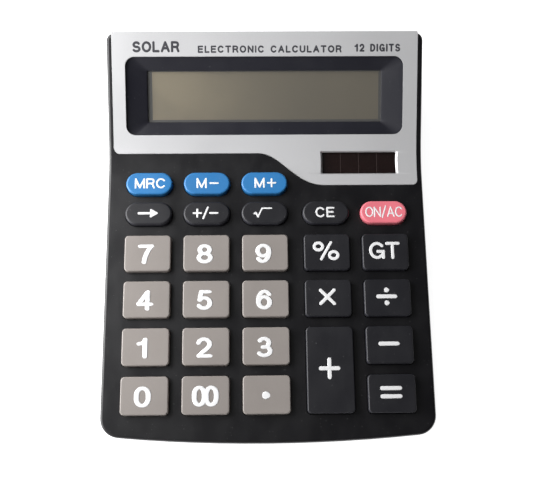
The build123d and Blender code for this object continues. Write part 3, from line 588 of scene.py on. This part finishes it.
def along(material, direction):
    """How far a point lies along a direction of the frame, in metres."""
    node = add(material, "VectorMath")
    node.operation = "DOT_PRODUCT"
    node.inputs[1].default_value = direction
    join(material, places(material), node.inputs[0])
    return node.outputs["Value"]


def band(material, direction, low, high, soft=0.00002):
    """1 between two places along a direction of the frame, 0 elsewhere."""
    distance = add(material, "Math")
    distance.operation = "SUBTRACT"
    distance.inputs[1].default_value = (low + high) / 2
    join(material, along(material, direction), distance.inputs[0])
    size = add(material, "Math")
    size.operation = "ABSOLUTE"
    join(material, distance.outputs[0], size.inputs[0])
    half = (high - low) / 2
    return spread(material, size.outputs[0], 1.0, 0.0, half - soft, half + soft)


def screen_film(name, looks):
    """Grey-brown polariser in a dark border: a faint weave, with painted light, lighter at the left and
    darker toward the right. The dark border is a printed mask and painted shade of the window's lip and its
    shadow.
    """
    base = tuple(looks.screen)
    low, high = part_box("lcd_cell")
    material = new_finish(name, 0.38, Coat_Weight=0.3, Coat_Roughness=0.2)
    shader = shader_of(material)
    # Painted light: the field is painted lighter at the left, darker toward the right
    painted_light_end = low.x + (high.x - low.x) * SCREEN_LIGHT_FADE
    painted_light_across = spread(material, along(material, RIGHT), 0.0, 1.0, low.x, painted_light_end)
    tone = mixed(material, painted_light_across, shade(base, SCREEN_LIT_LEFT), shade(base, SCREEN_SHADED_RIGHT))
    cloud = noise(material, 22 * MM, 2.0)
    tone = mixed(material, spread(material, cloud, 0.0, 0.5), tone, shade(base, 1.05))
    fine = noise(material, 0.12 * MM, 2.0)
    tone = mixed(material, spread(material, fine, 0.0, 0.25), tone, shade(base, 1.3))
    window = facing("display_lens")
    centre = window @ Vector((*SCREEN_OFFSET, 0))
    # Dark border round the field: a printed mask and painted shade of the window's lip and its shadow
    for column, size in enumerate((looks.screen_width, looks.screen_depth)):
        axis = window.col[column].to_3d()
        middle = axis.dot(centre)
        inside = band(material, axis, middle - size / 2, middle + size / 2, EDGE_SOFTNESS)
        tone = mixed(material, inside, tuple(looks.border), tone)
    join(material, tone, shader.inputs["Base Color"])
    join(material, spread(material, fine, 0.32, 0.45), shader.inputs["Roughness"])
    return material


def cell_film(name, looks):
    """Dark brown solar film, cut into cells by thin lines."""
    low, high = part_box("solar_window")
    material = new_finish(name, 0.22, Coat_Weight=0.6, Coat_Roughness=0.08)
    shader = shader_of(material)
    cloud = noise(material, 6 * MM, 3.0)
    mottle = spread(material, cloud, 0.0, 1.0)
    tone = mixed(material, mottle, shade(looks.solar, 0.85), shade(looks.solar, 1.2))
    pitch = (high.x - low.x - 2 * CELL_MARGIN) / looks.cells
    for index in range(1, looks.cells):
        x = low.x + CELL_MARGIN + index * pitch
        line = band(material, RIGHT, x - looks.divider_width / 2, x + looks.divider_width / 2)
        tone = mixed(material, line, tone, tuple(looks.divider))
    join(material, tone, shader.inputs["Base Color"])
    return material


def striped_film(name):
    """Amber film with fine printed tracks running along it."""
    material = new_finish(name, 0.35)
    shader = shader_of(material)
    wave = add(material, "TexWave")
    wave.inputs["Scale"].default_value = 160
    join(material, places(material), wave.inputs["Vector"])
    tracks = spread(material, wave.outputs["Fac"], 0.0, 1.0, 0.45, 0.55)
    tone = mixed(material, tracks, (0.32, 0.16, 0.035), (0.05, 0.045, 0.04))
    join(material, tone, shader.inputs["Base Color"])
    join(material, relief(material, wave.outputs["Fac"], 0.02 * MM), shader.inputs["Normal"])
    return material


def laminate(name):
    """Brown paper laminate with green mask and copper tracks under it."""
    material = new_finish(name, 0.45)
    shader = shader_of(material)
    cells = add(material, "TexVoronoi")
    cells.feature = "DISTANCE_TO_EDGE"
    cells.inputs["Scale"].default_value = 240
    join(material, places(material, (1, 0.35, 1)), cells.inputs["Vector"])
    tracks = spread(material, cells.outputs["Distance"], 1.0, 0.0, 0.06, 0.10)
    fibre = noise(material, 0.6 * MM, 4.0, (1, 0.2, 1))
    tone = mixed(material, spread(material, fibre, 0.0, 1.0), (0.15, 0.085, 0.03), (0.23, 0.14, 0.05))
    tone = mixed(material, tracks, tone, (0.06, 0.16, 0.055))
    join(material, tone, shader.inputs["Base Color"])
    join(material, relief(material, tracks, 0.03 * MM), shader.inputs["Normal"])
    return material


def sleeve(name):
    """Printed battery sleeve: dark body, a copper shoulder and bare steel ends."""
    low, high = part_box("battery")
    material = new_finish(name, 0.28, Metallic=0.6)
    shader = shader_of(material)
    scratch = noise(material, 0.6 * MM, 3.0, (0.15, 1, 1))
    dark = mixed(material, spread(material, scratch, 0.0, 1.0), (0.022, 0.024, 0.028), (0.04, 0.042, 0.047))
    shoulder = band(material, RIGHT, high.x - SHOULDER[0], high.x - SHOULDER[1])
    tone = mixed(material, shoulder, dark, (0.52, 0.25, 0.085))
    for edge in (low.x, high.x):
        bare = band(material, RIGHT, edge - BARE_END, edge + BARE_END)
        tone = mixed(material, bare, tone, (0.62, 0.61, 0.59))
    join(material, tone, shader.inputs["Base Color"])
    join(material, spread(material, scratch, 0.22, 0.4), shader.inputs["Roughness"])
    return material


def brushed(name, base, roughness):
    """Plated metal with short fine scratches."""
    material = new_finish(name, roughness, Metallic=1.0)
    shader = shader_of(material)
    scratch = noise(material, 0.25 * MM, 4.0, (0.2, 1, 1))
    tone = mixed(material, spread(material, scratch, 0.0, 1.0), shade(base, 0.85), base)
    join(material, tone, shader.inputs["Base Color"])
    join(material, spread(material, scratch, roughness - 0.08, roughness + 0.1), shader.inputs["Roughness"])
    join(material, relief(material, scratch, 0.004 * MM, 0.4), shader.inputs["Normal"])
    return material


# ---------------------------------------------------------------- groups of pieces
def make_case(plastics):
    out = facing("key_5").col[2].to_3d()
    # The case's sides and edges are painted lighter: a painted highlight
    shells = moulded(
        "case_plastic", plastics.case, plastics.gloss, plastics.grain,
        edge=shade(plastics.case, CASE_EDGE_HIGHLIGHT), direction=out)
    finish_nodes(["upper_case", "lower_case", "battery_door"], shells)
    rubber = plain("foot_rubber", plastics.foot, 0.72, 0.3 * MM, 0.02 * MM)
    finish_nodes(FEET, rubber)


def make_fascia(plastics):
    silver = lacquer("fascia_lacquer", plastics.fascia)
    finish_nodes(["fascia_plate"], silver, PLATE_BEVEL)
    surround = moulded(
        "bezel_plastic", plastics.bezel, 0.38, plastics.grain * 0.7, 0.004 * MM,
        Specular_IOR_Level=0.4)
    finish_nodes(["display_bezel"], surround, SURROUND_BEVEL)


def make_keycaps(plastics):
    out = facing("key_5").col[2].to_3d()
    # Columns: family, keys, base colour, edge tone share (painted highlight on the turned edges above one,
    # painted shade below one), roughness
    families = (
        ("grey", GREY_KEYS, plastics.grey_key, 1.35, 0.40),
        ("black", BLACK_KEYS, plastics.black_key, 3.2, 0.40),
        ("blue", BLUE_KEYS, plastics.blue_key, 0.9, 0.34),
        ("pink", PINK_KEYS, plastics.pink_key, 1.05, 0.34),
    )
    for family, keys, base, edge_light_share, roughness in families:
        plastic = moulded(
            f"{family}_key_plastic", base, roughness, plastics.grain * 0.8, 0.004 * MM,
            edge=shade(base, edge_light_share), direction=out)
        finish_nodes(keys, plastic)


def key_marks(looks):
    """What each key says, as strokes on its top."""
    tall, bold = looks.digit_height, looks.digit_stroke
    sign, small, fine = looks.sign_stroke, looks.small_height, looks.small_stroke
    aside = (-0.5 * MM, -0.5 * MM)
    raised = (-0.4 * MM, 0.5 * MM)
    narrow = 0.91 / looks.digit_stretch
    marks = {
        f"key_{digit}": lettering(digit, tall, bold, narrow, centre=aside) for digit in "0123456789"}
    marks["key_1"] = lettering("1", tall, bold, narrow, centre=(-0.9 * MM, -0.5 * MM))
    marks["key_00"] = lettering("00", tall, bold, 0.76 / looks.digit_stretch, -0.62, (0.0, -0.4 * MM))
    marks["key_point"] = [dot(3.6 * MM, (-0.3 * MM, -0.3 * MM))]
    marks["key_plus"] = [
        bar(9.7 * MM, sign, raised), bar(9.7 * MM, sign, raised, 90)]
    marks["key_minus"] = [bar(9.6 * MM, sign, raised)]
    marks["key_equals"] = [
        bar(9.8 * MM, sign, (raised[0], raised[1] + side * 1.8 * MM)) for side in (-1, 1)]
    marks["key_multiply"] = [
        bar(10.3 * MM, bold * 0.92, raised, turn) for turn in (45, -45)]
    marks["key_divide"] = [bar(9.6 * MM, sign, raised)] + [
        dot(2.35 * MM, (raised[0], raised[1] + side * 3.0 * MM)) for side in (-1, 1)]
    ring_radii = (1.95 * MM, 1.7 * MM)
    marks["key_percent"] = [bar(10.4 * MM, 1.35 * MM, raised, 60)] + [
        (1.5 * MM, ring((raised[0] + side * 3.5 * MM, raised[1] - side * 2.1 * MM), ring_radii))
        for side in (-1, 1)]
    marks["key_grand_total"] = lettering("GT", 8.2 * MM, 1.5 * MM, 1.0, 0.1, raised)
    marks["key_memory_recall"] = lettering("MRC", small, fine, centre=(0.5 * MM, 0.0))
    marks["key_memory_minus"] = lettering("M-", small, fine, gap=1.3, centre=(0.4 * MM, 0.0))
    marks["key_memory_plus"] = lettering("M+", small, fine, gap=1.1, centre=(0.5 * MM, 0.0))
    marks["key_clear_entry"] = lettering("CE", small, fine, gap=0.7, centre=(-0.4 * MM, 0.0))
    marks["key_on_clear"] = lettering("ON/AC", small, fine * 0.75, 0.78, 0.25, (0.2 * MM, 0.0))
    marks["key_sign"] = lettering("+/-", small, fine, gap=0.15, centre=(-0.5 * MM, 0.0))
    marks["key_root"] = [
        (fine, [(-4.8 * MM, -0.5 * MM), (-4.1 * MM, -0.1 * MM)]),
        (fine, [(-4.1 * MM, -0.1 * MM), (-3.1 * MM, -2.0 * MM)]),
        (fine * 0.8, [(-3.1 * MM, -2.0 * MM), (-1.2 * MM, 2.1 * MM)]),
        (fine * 0.8, [(-1.2 * MM, 2.1 * MM), (3.2 * MM, 2.1 * MM)])]
    tip, barb, back = 4.0 * MM, 1.65 * MM, 1.1 * MM
    marks["key_backspace"] = [
        (1.15 * MM, [(-4.5 * MM, 0.0), (2.9 * MM, 0.0)]),
        (0.8 * MM, [(back, barb), (tip, 0.0)]),
        (0.8 * MM, [(back, -barb), (tip, 0.0)]),
        (0.8 * MM, [(back, -barb), (back, barb)]),
        (0.9 * MM, [(back + 0.4 * MM, 0.8 * MM), (back + 1.5 * MM, 0.4 * MM)]),
        (0.9 * MM, [(back + 0.4 * MM, -0.8 * MM), (back + 1.5 * MM, -0.4 * MM)])]
    return marks


def make_key_print(looks):
    white = inked("white_ink", tuple(looks.white))
    for key, marks in key_marks(looks).items():
        stretch = looks.digit_stretch if key in GREY_KEYS and key != "key_point" else 1.0
        ink(f"{key}_print", marks, facing(key), looks.thickness, white, key, stretch)


def make_fascia_print(looks):
    """Three short words along the top of the silver plate."""
    dark = inked("dark_ink", tuple(looks.dark))
    window = facing("display_lens")
    out, up = window.col[2].to_3d(), window.col[1].to_3d()
    centre = window.translation
    plate = frame["nodes"]["fascia_plate"].data.vertices
    rise = max(out.dot(v.co - centre) for v in plate if up.dot(v.co - centre) > 20 * MM)
    words = (
        ("power_words", "SOLAR", 5.2 * MM, 1.15 * MM, 0.92, 0.40, (-51.3 * MM, 23.1 * MM)),
        ("name_words", "ELECTRONIC CALCULATOR", 3.4 * MM, 0.78 * MM, 0.98, 0.78, (2.5 * MM, 21.9 * MM)),
        ("digits_words", "12 DIGITS", 3.7 * MM, 0.84 * MM, 0.74, 0.58, (53.5 * MM, 22.4 * MM)),
    )
    for name, text, height, stroke, widen, gap, (right, rear) in words:
        place = window @ Matrix.Translation((right, rear, rise))
        marks = lettering(text, height, stroke, widen, gap)
        ink(name, marks, place, looks.thickness, dark, "case")


def make_display(looks):
    dress_nodes(["display_lens"], clear_sheet("display_window", (0.5, 0.5, 0.48), 0.07))
    dress_nodes(["solar_window"], clear_sheet("cell_window", (0.03, 0.02, 0.02), 0.12))
    dress_nodes(["lcd_cell"], screen_film("screen_film", looks))
    dress_nodes(["lcd_reflector"], plain("reflector_film", (0.55, 0.55, 0.50), 0.35, 0.2 * MM, 0.004 * MM))
    dress_nodes(["lcd_holder"], plain("holder_plastic", (0.12, 0.12, 0.12), 0.55, 0.3 * MM, 0.01 * MM))
    dress_nodes(["lcd_ribbon"], striped_film("ribbon_film"))
    dress_nodes(["solar_panel"], cell_film("solar_film", looks))


def make_inside():
    dress_nodes(["key_mat"], plain("mat_rubber", (0.35, 0.35, 0.36), 0.6, 0.4 * MM, 0.02 * MM, 0.06))
    dress_nodes(["keypad_board"], laminate("board_laminate"))
    dress_nodes(["controller_chip"], plain("chip_resin", (0.010, 0.010, 0.011), 0.3, 1.2 * MM, 0.05 * MM))
    dress_nodes(["capacitors"], plain("can_sleeve", (0.02, 0.03, 0.09), 0.3, 0.5 * MM, 0.004 * MM))
    dress_nodes(["board_screws", "case_screws"], brushed("screw_steel", (0.62, 0.61, 0.58), 0.34))
    dress_nodes(["battery"], sleeve("battery_sleeve"))
    nickel = brushed("contact_nickel", (0.70, 0.69, 0.64), 0.3)
    dress_nodes(["battery_plus_contact", "battery_minus_contact"], nickel)
    dress_nodes(["solar_leads"], plain("red_wire", (0.45, 0.02, 0.02), 0.42, 0.4 * MM, 0.01 * MM))
    dress_nodes(["battery_leads"], plain("black_wire", (0.012, 0.012, 0.013), 0.42, 0.4 * MM, 0.01 * MM))


# ---------------------------------------------------------------- stage
def make_floor(looks):
    bpy.ops.object.select_all(action="DESELECT")
    bpy.ops.mesh.primitive_plane_add(size=FLOOR_SIZE)
    floor = bpy.context.object
    floor.name = "floor"
    paper = plain("floor_paper", tuple(looks.floor), 0.8, 2 * MM, 0.01 * MM, 0.01)
    shader_of(paper).inputs["Emission Color"].default_value = (1, 1, 1, 1)
    shader_of(paper).inputs["Emission Strength"].default_value = looks.glow
    dress(floor, paper)


def make_light(name, aim, place, size, power):
    bpy.ops.object.light_add(type="AREA", location=place)
    light = bpy.context.object
    light.name = name
    light.data.shape = "RECTANGLE"
    light.data.size, light.data.size_y = size
    light.data.energy = power
    light.rotation_euler = (Vector(place) - Vector(aim)).to_track_quat("Z", "Y").to_euler()


def make_sky(looks):
    """Plain white studio walls, brighter on the left."""
    sky = bpy.data.worlds.new("studio")
    bpy.context.scene.world = sky
    sky.use_nodes = True
    nodes, links = sky.node_tree.nodes, sky.node_tree.links
    direction = nodes.new("ShaderNodeTexCoord")
    apart = nodes.new("ShaderNodeSeparateXYZ")
    share = nodes.new("ShaderNodeMapRange")
    share.interpolation_type = "SMOOTHSTEP"
    share.inputs["From Min"].default_value = DIM_FROM
    share.inputs["From Max"].default_value = BRIGHT_FROM
    share.inputs["To Min"].default_value = looks.sky_low
    share.inputs["To Max"].default_value = looks.sky_high
    links.new(direction.outputs["Generated"], apart.inputs["Vector"])
    links.new(apart.outputs["X"], share.inputs["Value"])
    links.new(share.outputs["Result"], nodes["Background"].inputs["Strength"])
    nodes["Background"].inputs["Color"].default_value = (1, 1, 1, 1)


def make_camera():
    turn = [math.radians(angle) for angle in CAMERA_TURN]
    bpy.ops.object.camera_add(location=CAMERA_PLACE, rotation=turn)
    camera = bpy.context.object
    camera.data.lens = CAMERA_LENS
    camera.data.sensor_width = SENSOR_WIDTH
    camera.data.clip_start = 1 * MM
    bpy.context.scene.camera = camera


def make_stage(looks):
    make_floor(looks)
    make_sky(looks)
    make_light("key_light", KEY_LIGHT_AIM, KEY_LIGHT_PLACE, KEY_LIGHT_SIZE, looks.key_light)
    make_light("side_light", SIDE_LIGHT_AIM, SIDE_LIGHT_PLACE, SIDE_LIGHT_SIZE, looks.side_light)
    make_camera()
    bpy.context.scene.view_settings.view_transform = "Standard"


# ---------------------------------------------------------------- operators and panel
class CALCULATOR_OT_case(bpy.types.Operator):
    """Smooth both case halves, the battery door and the feet, and give them their plastics"""
    bl_idname = "calculator.case"
    bl_label = "Case, door and feet"

    def execute(self, context):
        make_case(context.scene.calculator_plastics)
        return {"FINISHED"}


class CALCULATOR_OT_fascia(bpy.types.Operator):
    """Finish the silver plate and the dark display surround"""
    bl_idname = "calculator.fascia"
    bl_label = "Fascia and bezel"

    def execute(self, context):
        make_fascia(context.scene.calculator_plastics)
        return {"FINISHED"}


class CALCULATOR_OT_keycaps(bpy.types.Operator):
    """Smooth all keycaps and colour them by family"""
    bl_idname = "calculator.keycaps"
    bl_label = "Keycaps"

    def execute(self, context):
        make_keycaps(context.scene.calculator_plastics)
        return {"FINISHED"}


class CALCULATOR_OT_key_print(bpy.types.Operator):
    """Lay the numbers and signs on the keys as raised ink"""
    bl_idname = "calculator.key_print"
    bl_label = "Key print"

    def execute(self, context):
        make_key_print(context.scene.calculator_print)
        return {"FINISHED"}


class CALCULATOR_OT_fascia_print(bpy.types.Operator):
    """Lay the dark words on the silver plate"""
    bl_idname = "calculator.fascia_print"
    bl_label = "Fascia print"

    def execute(self, context):
        make_fascia_print(context.scene.calculator_print)
        return {"FINISHED"}


class CALCULATOR_OT_display(bpy.types.Operator):
    """Give the display, its holder and the solar panel their films and glass"""
    bl_idname = "calculator.display"
    bl_label = "Display and solar panel"

    def execute(self, context):
        make_display(context.scene.calculator_display)
        return {"FINISHED"}


class CALCULATOR_OT_inside(bpy.types.Operator):
    """Give the pieces inside the case their finishes"""
    bl_idname = "calculator.inside"
    bl_label = "Inner pieces"

    def execute(self, context):
        make_inside()
        return {"FINISHED"}


class CALCULATOR_OT_stage(bpy.types.Operator):
    """Set out the table, the studio light and the camera"""
    bl_idname = "calculator.stage"
    bl_label = "Stage"

    def execute(self, context):
        make_stage(context.scene.calculator_stage)
        return {"FINISHED"}


OPERATORS = (
    CALCULATOR_OT_case, CALCULATOR_OT_fascia, CALCULATOR_OT_keycaps, CALCULATOR_OT_key_print,
    CALCULATOR_OT_fascia_print, CALCULATOR_OT_display, CALCULATOR_OT_inside, CALCULATOR_OT_stage,
)
SETTINGS = {
    "calculator_plastics": CalculatorPlastics,
    "calculator_print": CalculatorPrint,
    "calculator_display": CalculatorDisplay,
    "calculator_stage": CalculatorStage,
}


class CALCULATOR_PT_panel(bpy.types.Panel):
    bl_idname = "CALCULATOR_PT_panel"
    bl_label = "Desk calculator"
    bl_space_type = "VIEW_3D"
    bl_region_type = "UI"
    bl_category = "Calculator"

    def draw(self, context):
        for setting, kind in SETTINGS.items():
            group = getattr(context.scene, setting)
            box = self.layout.box()
            for name in kind.__annotations__:
                box.prop(group, name)
        for operator in OPERATORS:
            self.layout.operator(operator.bl_idname)


def register():
    for setting, kind in SETTINGS.items():
        bpy.utils.register_class(kind)
        setattr(bpy.types.Scene, setting, bpy.props.PointerProperty(type=kind))
    for operator in OPERATORS:
        bpy.utils.register_class(operator)
    bpy.utils.register_class(CALCULATOR_PT_panel)


def unregister():
    bpy.utils.unregister_class(CALCULATOR_PT_panel)
    for operator in reversed(OPERATORS):
        bpy.utils.unregister_class(operator)
    for setting, kind in SETTINGS.items():
        delattr(bpy.types.Scene, setting)
        bpy.utils.unregister_class(kind)


def main():
    register()
    bpy.ops.calculator.case()
    bpy.ops.calculator.fascia()
    bpy.ops.calculator.keycaps()
    bpy.ops.calculator.key_print()
    bpy.ops.calculator.fascia_print()
    bpy.ops.calculator.display()
    bpy.ops.calculator.inside()
    bpy.ops.calculator.stage()


if __name__ == "__main__":
    main()
